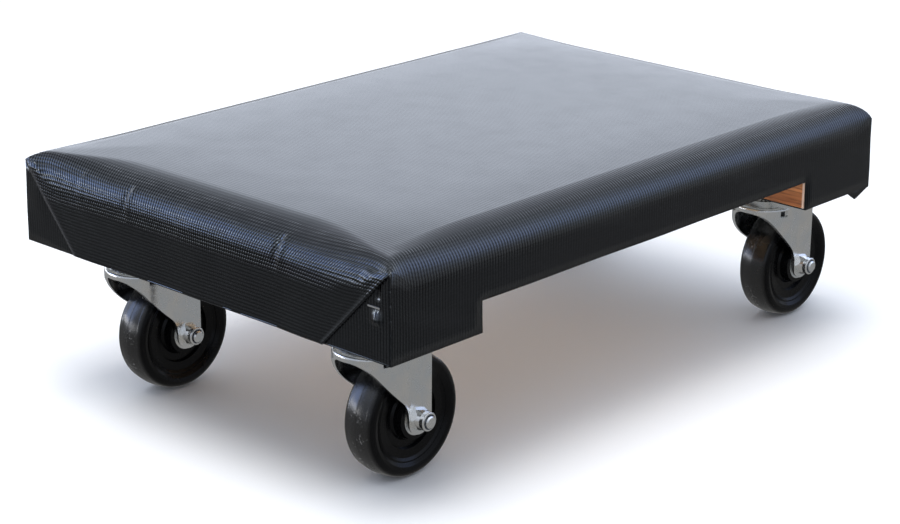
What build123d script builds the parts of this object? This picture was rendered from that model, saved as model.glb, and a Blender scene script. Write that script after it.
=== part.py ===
from build123d import *
import os
from math import acos, atan2, cos, hypot, sin

"""Padded four-wheeled mechanics creeper.

Z is up and the floor is Z = 0. X runs across the deck and Y along it. The origin is on the floor
under the middle of the whole object, so the deck stands a little forward of it, because the rear
wheels trail past the deck's end. Millimetres.
"""

# Deck
COVER_LENGTH = 615.0
COVER_WIDTH = 416.0
COVER_THICKNESS = 1.2
COVER_HEIGHT = 79.5
SIDE_ROUND = 28.0
END_ROUND = 26.0
BOARD_THICKNESS = 25.4
BOARD_DEPTH = 98.4 - COVER_THICKNESS
PANEL_THICKNESS = 18.0
SIDE_RETURN = 34.0

# Deck fasteners
SCREW_RADIUS = 2.1
SCREW_HEAD_RADIUS = 4.2
SCREW_LENGTH = 40.0
SCREW_ROWS_X = (-190.0, -60.0, 60.0, 190.0)
STAPLE_CROWN = 12.0
STAPLE_LEG = 8.0
STAPLE_WIRE = 1.2
STAPLE_PROUD = 0.6
STAPLE_PITCH = 50.0
STAPLES_PER_SIDE = 8
END_STAPLES_X = (-185.0, -75.0, -45.0, -15.0, 15.0, 45.0, 75.0, 185.0)
STAPLE_INSET = 9.0
FOLD_STAPLE_IN = 15.8
FOLD_STAPLE_UP = 42.2

# Casters
MOUNT_HEIGHT = 133.0
SWIVEL_X = 133.5
SWIVEL_Y = 254.5
TRAIL = 36.0
WHEEL_RADIUS = 50.8

PLATE_LENGTH = 95.0
PLATE_WIDTH = 67.0
PLATE_THICKNESS = 3.0
PLATE_CORNER = 6.0
SLOT_SPACING_X = 76.0
SLOT_SPACING_Y = 44.0
SLOT_LENGTH = 13.0
SLOT_WIDTH = 8.6
DISH_RADIUS = 27.0
DISH_FLOOR_RADIUS = 24.0
DISH_DEPTH = 5.5

UPPER_BALL_RADIUS = 3.0
UPPER_BALL_RING = 18.5
UPPER_BALL_COUNT = 16
LOWER_BALL_RADIUS = 2.5
LOWER_BALL_RING = 11.5
LOWER_BALL_COUNT = 12
RACE_GAP = 0.2
RACE_DEPTH = 0.7

SHEET = 2.8
HEAD_RADIUS = 28.0
LEG_HALF_WIDTH = 20.6
LEG_CREASE_Y = 25.0
LEG_TIP_RADIUS = 12.8
FORK_DROP = 17.0
CROWN_RISE = 4.5
CROWN_RADIUS = 21.6
CROWN_FOOT_RADIUS = 24.6
FORK_HOLE_RADIUS = 8.0
CROWN_WALL = 2.0
NOSE_DROP = 5.8
NOSE_FLAT = 1.0
SWEEP_POINTS = ((-12.0, 20.8), (8.0, 41.2))
SWEEP_START = (1.0, -0.5)
SWEEP_END = (0.0, -1.0)
REAR_NOTCH_RADIUS = 15.0
WINDOW_FRONT_Y = -10.0
WINDOW_BACK_Y = -2.0
WINDOW_FALL = 3.5
WINDOW_HEIGHT = 6.0
CUT_THROUGH = 3 * HEAD_RADIUS

KINGPIN_RADIUS = 6.4
KINGPIN_HEAD_RADIUS = 9.0
KINGPIN_HEAD_HEIGHT = 3.0
RACE_RADIUS = 15.5
RACE_THICKNESS = 3.7

AXLE_RADIUS = 5.0
SHAFT_CLEARANCE = 0.05
AXLE_HEAD_ACROSS = 16.0
AXLE_HEAD_HEIGHT = 6.4
AXLE_END_X = 32.8
NUT_ACROSS = 17.0
NUT_HEX_HEIGHT = 6.6
NUT_CORNER_RADIUS = 9.6
NUT_CORNER_TAPER = 18.0
NUT_COLLAR_RADIUS = 7.7
NUT_HEIGHT = 10.0
NUT_MOUTH_RADIUS = 6.2
SLEEVE_RADIUS = 7.0
ROLLER_RADIUS = 2.0
ROLLER_RING = 9.2
ROLLER_COUNT = 12
ROLLER_LENGTH = 29.0
HUB_BORE_RADIUS = 11.4
HUB_RADIUS = 17.6
HUB_HALF_LENGTH = 17.0
WASHER_THICKNESS = 0.6
WASHER_RADIUS = 14.0
WASHER_GAP = 0.1

TREAD_HALF_WIDTH = 15.5
TREAD_CROWN_RADIUS = 40.0
SHOULDER_DROP = 1.2
SHOULDER_RADIUS = 6.0
RIM_INNER_RADIUS = 38.4
RING_RADIUS = 36.4
STEP_RADIUS = 27.4
WEB_HALF_WIDTH = 8.0

# The wheel's moulded side: how far each edge stands out from the web, and each slope's width
HUB_DRAFT = 1.4
HUB_FOOT_OUT = 2.0
HUB_FOOT_WIDTH = 3.0
STEP_OUT = 2.6
STEP_WIDTH = 1.0
RING_FOOT_OUT = 3.4
RING_FOOT_WIDTH = 2.0
RING_OUT = 5.2
RIM_FOOT_OUT = 4.6
RIM_FOOT_WIDTH = 0.6
RIM_SLOPE_WIDTH = 2.4
RIM_FACE_INSET = 0.8

BOLT_RADIUS = 4.0
BOLT_HOLE_RADIUS = 4.3
BOLT_HEAD_ACROSS = 13.0
BOLT_HEAD_HEIGHT = 5.5
BOLT_LENGTH = 42.0
LOCK_WASHER_THICKNESS = 1.8
LOCK_WASHER_RADIUS = 7.0
TEE_FLANGE_RADIUS = 11.0
TEE_FLANGE_THICKNESS = 1.5
TEE_BARREL_RADIUS = 5.2
TEE_BARREL_LENGTH = 11.0

EDGE_BREAK = 0.5

# Heights worked out from the driving ones
BOARD_BOTTOM = MOUNT_HEIGHT + COVER_THICKNESS
PANEL_BOTTOM = BOARD_BOTTOM + BOARD_THICKNESS
PANEL_TOP = PANEL_BOTTOM + PANEL_THICKNESS
COVER_TOP = MOUNT_HEIGHT + COVER_HEIGHT
FOAM_TOP = COVER_TOP - COVER_THICKNESS
PLATE_BOTTOM = MOUNT_HEIGHT - PLATE_THICKNESS
DISH_BOTTOM = PLATE_BOTTOM - DISH_DEPTH
FORK_TOP = MOUNT_HEIGHT - FORK_DROP
CROWN_TOP = FORK_TOP + CROWN_RISE
CROWN_UNDER = CROWN_TOP - SHEET
UPPER_BALL_Z = (DISH_BOTTOM + CROWN_TOP) / 2
LOWER_BALL_Z = CROWN_UNDER - LOWER_BALL_RADIUS + RACE_DEPTH
RACE_TOP = LOWER_BALL_Z - LOWER_BALL_RADIUS + RACE_DEPTH
RACE_BOTTOM = RACE_TOP - RACE_THICKNESS
BOLT_HEAD_TOP = PLATE_BOTTOM - LOCK_WASHER_THICKNESS
AXLE_Z = WHEEL_RADIUS

# Places worked out from the driving ones
WOOD_LENGTH = COVER_LENGTH - 2 * COVER_THICKNESS
WOOD_WIDTH = COVER_WIDTH - 2 * COVER_THICKNESS
FRONT_REACH = COVER_LENGTH / 2 + STAPLE_PROUD
REAR_REACH = SWIVEL_Y + TRAIL + WHEEL_RADIUS
DECK_Y = (FRONT_REACH - REAR_REACH) / 2
BOARD_INNER_Y = WOOD_LENGTH / 2 - BOARD_DEPTH
LEG_INNER = LEG_HALF_WIDTH - SHEET
LEG_REAR_Y = TRAIL + LEG_TIP_RADIUS

CASTERS = {
    "front_left": (-SWIVEL_X, DECK_Y - SWIVEL_Y),
    "front_right": (SWIVEL_X, DECK_Y - SWIVEL_Y),
    "rear_left": (-SWIVEL_X, DECK_Y + SWIVEL_Y),
    "rear_right": (SWIVEL_X, DECK_Y + SWIVEL_Y),
}
BOLT_PLACES = [
    (x + side * SLOT_SPACING_X / 2, y + end * SLOT_SPACING_Y / 2)
    for x, y in CASTERS.values()
    for side in (-1, 1)
    for end in (-1, 1)
]
SCREW_PLACES = [(x, DECK_Y + end * SWIVEL_Y) for end in (-1, 1) for x in SCREW_ROWS_X]


def save(part, name):
    """Label a finished piece and write its STEP file."""
    part.label = name
    export_step(part, f"parts/{name}.step")


def save_moved(piece, name, place):
    """Write a copy of a caster piece, moved to its swivel axis."""
    with BuildPart() as moved:
        with Locations((*place, 0)):
            add(piece)
    save(moved.part, name)


def at_height(places, height):
    """The same places with a height added."""
    return [(x, y, height) for x, y in places]


# Deck pieces


def rounded_block(width, length, bottom, top, side_round, end_round):
    """A block whose top edges are rounded, with mitred corners like a boxed mattress."""
    height = top - bottom
    middle = bottom + height / 2
    with BuildPart() as block:
        with BuildSketch(Plane.XZ.offset(-DECK_Y)) as across:
            with Locations((0, middle)):
                Rectangle(width, height)
            upper = across.vertices().group_by(Axis.Y)[-1]
            fillet(upper, side_round)
        extrude(amount=length / 2, both=True)
        with BuildSketch(Plane.YZ) as along:
            with Locations((DECK_Y, middle)):
                Rectangle(length, height)
            upper = along.vertices().group_by(Axis.Y)[-1]
            fillet(upper, end_round)
        extrude(amount=width / 2, both=True, mode=Mode.INTERSECT)
    return block.part


def build_foam_pad():
    """The soft pad on the deck panel."""
    return rounded_block(
        WOOD_WIDTH,
        WOOD_LENGTH,
        PANEL_TOP,
        FOAM_TOP,
        SIDE_ROUND - COVER_THICKNESS,
        END_ROUND - COVER_THICKNESS,
    )


def build_vinyl_cover():
    """The wrapped skin: over the pad, down every side, and returned underneath."""
    skin = rounded_block(
        COVER_WIDTH, COVER_LENGTH, MOUNT_HEIGHT, COVER_TOP, SIDE_ROUND, END_ROUND
    )
    filling = rounded_block(
        WOOD_WIDTH,
        WOOD_LENGTH,
        BOARD_BOTTOM,
        FOAM_TOP,
        SIDE_ROUND - COVER_THICKNESS,
        END_ROUND - COVER_THICKNESS,
    )
    notch_top = PANEL_BOTTOM - COVER_THICKNESS
    with BuildPart() as cover:
        add(skin)
        add(filling, mode=Mode.SUBTRACT)
        with BuildSketch(Plane.XY.offset(MOUNT_HEIGHT)):
            with Locations((0, DECK_Y)):
                Rectangle(COVER_WIDTH, 2 * BOARD_INNER_Y)
        extrude(amount=notch_top - MOUNT_HEIGHT, mode=Mode.SUBTRACT)
        with BuildSketch(Plane.XY.offset(notch_top)):
            for side in (-1, 1):
                with Locations((side * (WOOD_WIDTH - SIDE_RETURN) / 2, DECK_Y)):
                    Rectangle(SIDE_RETURN, 2 * BOARD_INNER_Y)
        extrude(amount=COVER_THICKNESS)
        with BuildSketch(Plane.XY.offset(MOUNT_HEIGHT)):
            with Locations(*BOLT_PLACES):
                Circle(BOLT_HOLE_RADIUS)
        extrude(amount=COVER_THICKNESS, mode=Mode.SUBTRACT)
    return cover.part


def build_deck_panel():
    """The plywood panel, recessed for the tee nuts and countersunk for the screws."""
    with BuildPart() as panel:
        with BuildSketch(Plane.XY.offset(PANEL_BOTTOM)):
            with Locations((0, DECK_Y)):
                Rectangle(WOOD_WIDTH, WOOD_LENGTH)
        extrude(amount=PANEL_THICKNESS)
        with Locations(*at_height(SCREW_PLACES, PANEL_TOP)):
            CounterSinkHole(SCREW_RADIUS, SCREW_HEAD_RADIUS, PANEL_THICKNESS)
        with Locations(*at_height(BOLT_PLACES, PANEL_TOP)):
            CounterBoreHole(
                TEE_BARREL_RADIUS,
                TEE_FLANGE_RADIUS,
                TEE_FLANGE_THICKNESS,
                TEE_FLANGE_THICKNESS + TEE_BARREL_LENGTH,
            )
            Hole(BOLT_HOLE_RADIUS, PANEL_THICKNESS)
    return panel.part


def build_end_board(end):
    """One hardwood board under an end of the panel; end is -1 at the front and 1 at the rear."""
    middle_y = DECK_Y + end * (WOOD_LENGTH - BOARD_DEPTH) / 2
    top = BOARD_BOTTOM + BOARD_THICKNESS
    screws = [place for place in SCREW_PLACES if (place[1] - DECK_Y) * end > 0]
    bolts = [place for place in BOLT_PLACES if (place[1] - DECK_Y) * end > 0]
    with BuildPart() as board:
        with BuildSketch(Plane.XY.offset(BOARD_BOTTOM)):
            with Locations((0, middle_y)):
                Rectangle(WOOD_WIDTH, BOARD_DEPTH)
        extrude(amount=BOARD_THICKNESS)
        with Locations(*at_height(screws, top)):
            Hole(SCREW_RADIUS, SCREW_LENGTH - PANEL_THICKNESS)
        with Locations(*at_height(bolts, top)):
            Hole(BOLT_HOLE_RADIUS, BOARD_THICKNESS)
    return board.part


def build_board_screws():
    """Countersunk wood screws that hold the panel on the end boards."""
    cone = SCREW_HEAD_RADIUS - SCREW_RADIUS
    with BuildPart() as screw:
        with BuildSketch(Plane.XZ):
            with BuildLine():
                Polyline(
                    (0, 0),
                    (SCREW_HEAD_RADIUS, 0),
                    (SCREW_RADIUS, -cone),
                    (SCREW_RADIUS, -SCREW_LENGTH + 2 * SCREW_RADIUS),
                    (0, -SCREW_LENGTH),
                    close=True,
                )
            make_face()
        revolve(axis=Axis.Z)
    with BuildPart() as screws:
        with Locations(*at_height(SCREW_PLACES, PANEL_TOP)):
            add(screw.part)
    return screws.part


def build_staple():
    """One staple, crown along X and below Z = 0, legs up into the wood."""
    with BuildPart() as staple:
        with Locations((0, 0, -STAPLE_PROUD / 2)):
            Box(STAPLE_CROWN, STAPLE_WIRE, STAPLE_PROUD)
        leg_x = (STAPLE_CROWN - STAPLE_WIRE) / 2
        with Locations((-leg_x, 0, STAPLE_LEG / 2), (leg_x, 0, STAPLE_LEG / 2)):
            Box(STAPLE_WIRE, STAPLE_WIRE, STAPLE_LEG)
    return staple.part


def build_cover_staples():
    """Staples along the cover's hems underneath, and one at each folded corner."""
    staple = build_staple()
    hem_y = BOARD_INNER_Y + STAPLE_INSET
    hem_x = WOOD_WIDTH / 2 - SIDE_RETURN + STAPLE_INSET
    fold_x = COVER_WIDTH / 2 - FOLD_STAPLE_IN
    fold_z = MOUNT_HEIGHT + FOLD_STAPLE_UP
    first_y = -STAPLE_PITCH * (STAPLES_PER_SIDE - 1) / 2
    places = [
        Location((x, DECK_Y + end * hem_y, MOUNT_HEIGHT))
        for end in (-1, 1)
        for x in END_STAPLES_X
    ]
    places += [
        Location(
            (side * hem_x, DECK_Y + first_y + i * STAPLE_PITCH, PANEL_BOTTOM - COVER_THICKNESS),
            (0, 0, 90),
        )
        for side in (-1, 1)
        for i in range(STAPLES_PER_SIDE)
    ]
    places += [
        Location((side * fold_x, DECK_Y + end * COVER_LENGTH / 2, fold_z), (end * 90, 0, 0))
        for end in (-1, 1)
        for side in (-1, 1)
    ]
    with BuildPart() as staples:
        with Locations(*places):
            add(staple)
    return staples.part


def build_hex_bolt(radius, across, head_height, length):
    """A hex bolt, head below Z = 0 and shank up."""
    with BuildPart() as bolt:
        with BuildSketch(Plane.XY.offset(-head_height)):
            RegularPolygon(across / 2, 6, major_radius=False)
        extrude(amount=head_height)
        outside = bolt.edges().group_by(Axis.Z)[0]
        chamfer(outside, EDGE_BREAK)
        with BuildSketch():
            Circle(radius)
        extrude(amount=length)
        chamfer(bolt.edges().group_by(Axis.Z)[-1], EDGE_BREAK)
    return bolt.part


def build_caster_bolts():
    """Hex bolts up through the caster plates and boards into the tee nuts."""
    bolt = build_hex_bolt(BOLT_RADIUS, BOLT_HEAD_ACROSS, BOLT_HEAD_HEIGHT, BOLT_LENGTH)
    with BuildPart() as bolts:
        with Locations(*at_height(BOLT_PLACES, BOLT_HEAD_TOP)):
            add(bolt)
    return bolts.part


def build_caster_bolt_washers():
    """A lock washer between each bolt head and the caster plate."""
    with BuildPart() as washers:
        with BuildSketch(Plane.XY.offset(BOLT_HEAD_TOP)):
            with Locations(*BOLT_PLACES):
                Circle(LOCK_WASHER_RADIUS)
                Circle(BOLT_RADIUS + SHAFT_CLEARANCE, mode=Mode.SUBTRACT)
        extrude(amount=LOCK_WASHER_THICKNESS)
    return washers.part


def build_tee_nuts():
    """Flanged barrel nuts let into the panel's top."""
    bore = BOLT_RADIUS + SHAFT_CLEARANCE
    barrel_bottom = PANEL_TOP - TEE_FLANGE_THICKNESS - TEE_BARREL_LENGTH
    with BuildPart() as nuts:
        with BuildSketch(Plane.XY.offset(barrel_bottom)):
            with Locations(*BOLT_PLACES):
                Circle(TEE_BARREL_RADIUS)
        extrude(amount=TEE_BARREL_LENGTH)
        with BuildSketch(Plane.XY.offset(PANEL_TOP - TEE_FLANGE_THICKNESS)):
            with Locations(*BOLT_PLACES):
                Circle(TEE_FLANGE_RADIUS)
        extrude(amount=TEE_FLANGE_THICKNESS)
        with Locations(*at_height(BOLT_PLACES, PANEL_TOP)):
            Hole(bore, TEE_FLANGE_THICKNESS + TEE_BARREL_LENGTH)
    return nuts.part


# Caster pieces, each about its own swivel axis: X = Y = 0, wheel trailing towards +Y


def ball_ring(radius, ring_radius, count, height):
    """Loose balls in a circle."""
    with BuildPart() as ring:
        with Locations((0, 0, height)):
            with PolarLocations(ring_radius, count):
                Sphere(radius)
    return ring.part


def build_top_plate():
    """The mounting plate, with a pressed dish whose underside is the upper race."""
    dish_floor = DISH_BOTTOM + PLATE_THICKNESS
    slope = DISH_RADIUS - DISH_FLOOR_RADIUS
    with BuildPart() as plate:
        with BuildSketch(Plane.XY.offset(PLATE_BOTTOM)):
            RectangleRounded(PLATE_LENGTH, PLATE_WIDTH, PLATE_CORNER)
            with GridLocations(SLOT_SPACING_X, SLOT_SPACING_Y, 2, 2):
                SlotOverall(SLOT_LENGTH, SLOT_WIDTH, mode=Mode.SUBTRACT)
            Circle(DISH_RADIUS, mode=Mode.SUBTRACT)
        extrude(amount=PLATE_THICKNESS)
        with BuildSketch(Plane.XZ):
            with BuildLine():
                Polyline(
                    (DISH_RADIUS, PLATE_BOTTOM),
                    (DISH_FLOOR_RADIUS, DISH_BOTTOM),
                    (KINGPIN_RADIUS, DISH_BOTTOM),
                    (KINGPIN_RADIUS, dish_floor),
                    (DISH_FLOOR_RADIUS - slope / 2, dish_floor),
                    (DISH_RADIUS - slope / 2, MOUNT_HEIGHT),
                    (DISH_RADIUS, MOUNT_HEIGHT),
                    close=True,
                )
            make_face()
        revolve(axis=Axis.Z)
        with Locations((0, 0, UPPER_BALL_Z)):
            Torus(UPPER_BALL_RING, UPPER_BALL_RADIUS + RACE_GAP, mode=Mode.SUBTRACT)
    return plate.part


def fork_plan(inset, rear_y):
    """The fork seen from above: a round head that narrows to two parallel legs."""
    radius = HEAD_RADIUS - inset
    half = LEG_HALF_WIDTH - inset
    tangent = atan2(LEG_CREASE_Y, half) - acos(radius / hypot(LEG_CREASE_Y, half))
    touch_x = radius * cos(tangent)
    touch_y = radius * sin(tangent)
    with BuildSketch() as plan:
        with BuildLine():
            ThreePointArc((-touch_x, touch_y), (0, -radius), (touch_x, touch_y))
            Polyline(
                (touch_x, touch_y),
                (half, LEG_CREASE_Y),
                (half, rear_y),
                (-half, rear_y),
                (-half, LEG_CREASE_Y),
                (-touch_x, touch_y),
            )
        make_face()
    return plan.sketch


def fork_side():
    """The fork seen from the side: swept front edge, round leg tip and straight rear edge."""
    tip_front = TRAIL - LEG_TIP_RADIUS
    nose = (NOSE_FLAT - HEAD_RADIUS, FORK_TOP - NOSE_DROP)
    sweep = [(y, FORK_TOP - drop) for y, drop in SWEEP_POINTS]
    with BuildSketch(Plane.YZ.offset(-CUT_THROUGH / 2)) as side:
        with BuildLine():
            Polyline(
                (LEG_REAR_Y, AXLE_Z),
                (LEG_REAR_Y, CROWN_TOP),
                (-HEAD_RADIUS, CROWN_TOP),
                (-HEAD_RADIUS, FORK_TOP - NOSE_DROP),
                nose,
            )
            Spline(nose, *sweep, (tip_front, AXLE_Z), tangents=[SWEEP_START, SWEEP_END])
            ThreePointArc(
                (tip_front, AXLE_Z), (TRAIL, AXLE_Z - LEG_TIP_RADIUS), (LEG_REAR_Y, AXLE_Z)
            )
        make_face()
    return side.sketch


def build_fork():
    """The pressed fork: a hood with a raised race crown, two legs and a window in each shoulder."""
    shoulder = HEAD_RADIUS - CROWN_FOOT_RADIUS
    under = FORK_TOP - SHEET
    window_y = (WINDOW_FRONT_Y + WINDOW_BACK_Y) / 2
    outer = fork_plan(0, LEG_REAR_Y)
    inner = fork_plan(SHEET, LEG_REAR_Y + SHEET)
    with BuildPart() as fork:
        extrude(outer, amount=FORK_TOP, dir=(0, 0, 1))
        top_rim = fork.edges().group_by(Axis.Z)[-1].sort_by(Axis.Y)[:-1]
        fillet(top_rim, shoulder)
        extrude(inner, amount=under, dir=(0, 0, 1), mode=Mode.SUBTRACT)
        extrude(fork_side(), amount=CUT_THROUGH, dir=(1, 0, 0), mode=Mode.INTERSECT)
        with BuildSketch(Plane.XY.offset(under)):
            Circle(CROWN_FOOT_RADIUS)
        extrude(amount=SHEET, mode=Mode.SUBTRACT)
        with BuildSketch(Plane.XZ):
            with BuildLine():
                Polyline(
                    (FORK_HOLE_RADIUS, CROWN_TOP),
                    (CROWN_RADIUS, CROWN_TOP),
                    (CROWN_FOOT_RADIUS, FORK_TOP),
                    (CROWN_FOOT_RADIUS, under),
                    (CROWN_FOOT_RADIUS - CROWN_WALL, under),
                    (CROWN_RADIUS - CROWN_WALL, CROWN_UNDER),
                    (FORK_HOLE_RADIUS, CROWN_UNDER),
                    close=True,
                )
            make_face()
        revolve(axis=Axis.Z)
        with Locations((0, 0, UPPER_BALL_Z)):
            Torus(UPPER_BALL_RING, UPPER_BALL_RADIUS + RACE_GAP, mode=Mode.SUBTRACT)
        with Locations((0, 0, LOWER_BALL_Z)):
            Torus(LOWER_BALL_RING, LOWER_BALL_RADIUS + RACE_GAP, mode=Mode.SUBTRACT)
        with Locations((0, window_y, FORK_TOP - WINDOW_FALL - WINDOW_HEIGHT / 2)):
            Box(CUT_THROUGH, WINDOW_BACK_Y - WINDOW_FRONT_Y, WINDOW_HEIGHT, mode=Mode.SUBTRACT)
        with BuildSketch(Plane.XY.offset(under)):
            with Locations((0, LEG_REAR_Y)):
                Circle(REAR_NOTCH_RADIUS)
        extrude(amount=SHEET, mode=Mode.SUBTRACT)
        with BuildSketch(Plane.YZ):
            with Locations((TRAIL, AXLE_Z)):
                Circle(AXLE_RADIUS + SHAFT_CLEARANCE)
        extrude(amount=HEAD_RADIUS, both=True, mode=Mode.SUBTRACT)
    return fork.part


def build_kingpin():
    """The rivet that holds the fork to the plate, with a head in the dish and one below."""
    dish_floor = DISH_BOTTOM + PLATE_THICKNESS
    with BuildPart() as kingpin:
        with BuildSketch(Plane.XZ):
            with BuildLine():
                Polyline(
                    (0, dish_floor + KINGPIN_HEAD_HEIGHT),
                    (KINGPIN_RADIUS, dish_floor + KINGPIN_HEAD_HEIGHT),
                    (KINGPIN_HEAD_RADIUS, dish_floor + KINGPIN_HEAD_HEIGHT / 2),
                    (KINGPIN_HEAD_RADIUS, dish_floor),
                    (KINGPIN_RADIUS, dish_floor),
                    (KINGPIN_RADIUS, RACE_BOTTOM),
                    (KINGPIN_HEAD_RADIUS, RACE_BOTTOM),
                    (KINGPIN_HEAD_RADIUS, RACE_BOTTOM - KINGPIN_HEAD_HEIGHT / 2),
                    (KINGPIN_RADIUS, RACE_BOTTOM - KINGPIN_HEAD_HEIGHT),
                    (0, RACE_BOTTOM - KINGPIN_HEAD_HEIGHT),
                    close=True,
                )
            make_face()
        revolve(axis=Axis.Z)
    return kingpin.part


def build_lower_race():
    """The ring on the kingpin that carries the lower balls."""
    with BuildPart() as race:
        with BuildSketch(Plane.XY.offset(RACE_BOTTOM)):
            Circle(RACE_RADIUS)
            Circle(KINGPIN_RADIUS, mode=Mode.SUBTRACT)
        extrude(amount=RACE_THICKNESS)
        with Locations((0, 0, LOWER_BALL_Z)):
            Torus(LOWER_BALL_RING, LOWER_BALL_RADIUS + RACE_GAP, mode=Mode.SUBTRACT)
    return race.part


def axle_plane(x):
    """The plane across the axle at this X, whose own origin is on the axle."""
    return Plane(origin=(x, TRAIL, AXLE_Z), x_dir=(0, 1, 0), z_dir=(1, 0, 0))


def build_axle_bolt():
    """The axle: a hex bolt from the left leg through both legs, with its end past the nut."""
    with BuildPart() as bolt:
        with BuildSketch(axle_plane(-LEG_HALF_WIDTH - AXLE_HEAD_HEIGHT)):
            RegularPolygon(AXLE_HEAD_ACROSS / 2, 6, major_radius=False)
        extrude(amount=AXLE_HEAD_HEIGHT)
        chamfer(bolt.edges().group_by(Axis.X)[0], EDGE_BREAK)
        with BuildSketch(axle_plane(-LEG_HALF_WIDTH)):
            Circle(AXLE_RADIUS)
        extrude(amount=LEG_HALF_WIDTH + AXLE_END_X)
        chamfer(bolt.edges().group_by(Axis.X)[-1], 2 * EDGE_BREAK)
    return bolt.part


def build_axle_nut():
    """The lock nut: a hexagon with corners turned off and a round collar."""
    with BuildPart() as nut:
        with BuildSketch(axle_plane(LEG_HALF_WIDTH)):
            RegularPolygon(NUT_ACROSS / 2, 6, major_radius=False)
        extrude(amount=NUT_HEX_HEIGHT)
        with BuildSketch(axle_plane(LEG_HALF_WIDTH)):
            Circle(NUT_CORNER_RADIUS)
        extrude(amount=NUT_HEX_HEIGHT, taper=NUT_CORNER_TAPER, mode=Mode.INTERSECT)
        with BuildSketch(axle_plane(LEG_HALF_WIDTH)):
            Circle(NUT_COLLAR_RADIUS)
        extrude(amount=NUT_HEIGHT)
        rim = nut.edges().group_by(Axis.X)[-1]
        fillet(rim, 2 * EDGE_BREAK)
        with BuildSketch(axle_plane(LEG_HALF_WIDTH)):
            Circle(AXLE_RADIUS)
        extrude(amount=NUT_HEIGHT, mode=Mode.SUBTRACT)
        with BuildSketch(axle_plane(LEG_HALF_WIDTH + NUT_HEX_HEIGHT)):
            Circle(NUT_MOUTH_RADIUS)
        extrude(amount=NUT_HEIGHT, mode=Mode.SUBTRACT)
    return nut.part


def build_axle_sleeve():
    """The steel sleeve clamped between the legs, which the rollers run on."""
    with BuildPart() as sleeve:
        with BuildSketch(axle_plane(-LEG_INNER)):
            Circle(SLEEVE_RADIUS)
            Circle(AXLE_RADIUS + SHAFT_CLEARANCE, mode=Mode.SUBTRACT)
        extrude(amount=2 * LEG_INNER)
    return sleeve.part


def build_rollers():
    """Plain rollers between the sleeve and the wheel's bore."""
    with BuildPart() as rollers:
        with BuildSketch(axle_plane(-ROLLER_LENGTH / 2)):
            with PolarLocations(ROLLER_RING, ROLLER_COUNT):
                Circle(ROLLER_RADIUS)
        extrude(amount=ROLLER_LENGTH)
    return rollers.part


def build_hub_washers():
    """A thin washer on the sleeve at each end of the hub."""
    start = LEG_INNER - WASHER_GAP - WASHER_THICKNESS
    with BuildPart() as washers:
        for x in (start, -start - WASHER_THICKNESS):
            with BuildSketch(axle_plane(x)):
                Circle(WASHER_RADIUS)
                Circle(SLEEVE_RADIUS + SHAFT_CLEARANCE, mode=Mode.SUBTRACT)
            extrude(amount=WASHER_THICKNESS)
    return washers.part


def wheel_side_outline():
    """The wheel's moulded side from bore to shoulder, as (distance from middle, radius) points."""
    shoulder = WHEEL_RADIUS - SHOULDER_DROP - SHOULDER_RADIUS
    return [
        (0, HUB_BORE_RADIUS),
        (HUB_HALF_LENGTH, HUB_BORE_RADIUS),
        (HUB_HALF_LENGTH, HUB_RADIUS),
        (WEB_HALF_WIDTH + HUB_FOOT_OUT, HUB_RADIUS + HUB_DRAFT),
        (WEB_HALF_WIDTH, HUB_RADIUS + HUB_FOOT_WIDTH),
        (WEB_HALF_WIDTH, STEP_RADIUS - STEP_WIDTH),
        (WEB_HALF_WIDTH + STEP_OUT, STEP_RADIUS),
        (WEB_HALF_WIDTH + RING_FOOT_OUT, RING_RADIUS - RING_FOOT_WIDTH),
        (WEB_HALF_WIDTH + RING_OUT, RING_RADIUS),
        (WEB_HALF_WIDTH + RIM_FOOT_OUT, RIM_INNER_RADIUS - RIM_FOOT_WIDTH),
        (TREAD_HALF_WIDTH - RIM_FACE_INSET, RIM_INNER_RADIUS + RIM_SLOPE_WIDTH),
        (TREAD_HALF_WIDTH, shoulder),
    ]


def build_wheel():
    """The moulded hard rubber wheel: tread, moulded rings, web and hub in one piece."""
    side = wheel_side_outline()
    axle_point = (0, TRAIL, AXLE_Z)
    shoulder_top = (TREAD_HALF_WIDTH - SHOULDER_RADIUS, WHEEL_RADIUS - SHOULDER_DROP)
    with BuildPart() as wheel:
        with BuildSketch(Plane(origin=axle_point, x_dir=(1, 0, 0), z_dir=(0, -1, 0))):
            with BuildLine():
                Polyline(*side)
                RadiusArc(side[-1], shoulder_top, -SHOULDER_RADIUS)
                RadiusArc(shoulder_top, (0, WHEEL_RADIUS), -TREAD_CROWN_RADIUS)
                Line((0, WHEEL_RADIUS), side[0])
            make_face()
            mirror(about=Plane.YZ)
        revolve(axis=Axis(axle_point, (1, 0, 0)))
    return wheel.part


def build_deck():
    """Write the pieces that stay with the deck."""
    save(build_deck_panel(), "deck_panel")
    save(build_end_board(-1), "end_board_front")
    save(build_end_board(1), "end_board_rear")
    save(build_foam_pad(), "foam_pad")
    save(build_vinyl_cover(), "vinyl_cover")
    save(build_cover_staples(), "cover_staples")
    save(build_board_screws(), "board_screws")
    save(build_caster_bolts(), "caster_bolts")
    save(build_caster_bolt_washers(), "caster_bolt_washers")
    save(build_tee_nuts(), "caster_tee_nuts")


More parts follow.
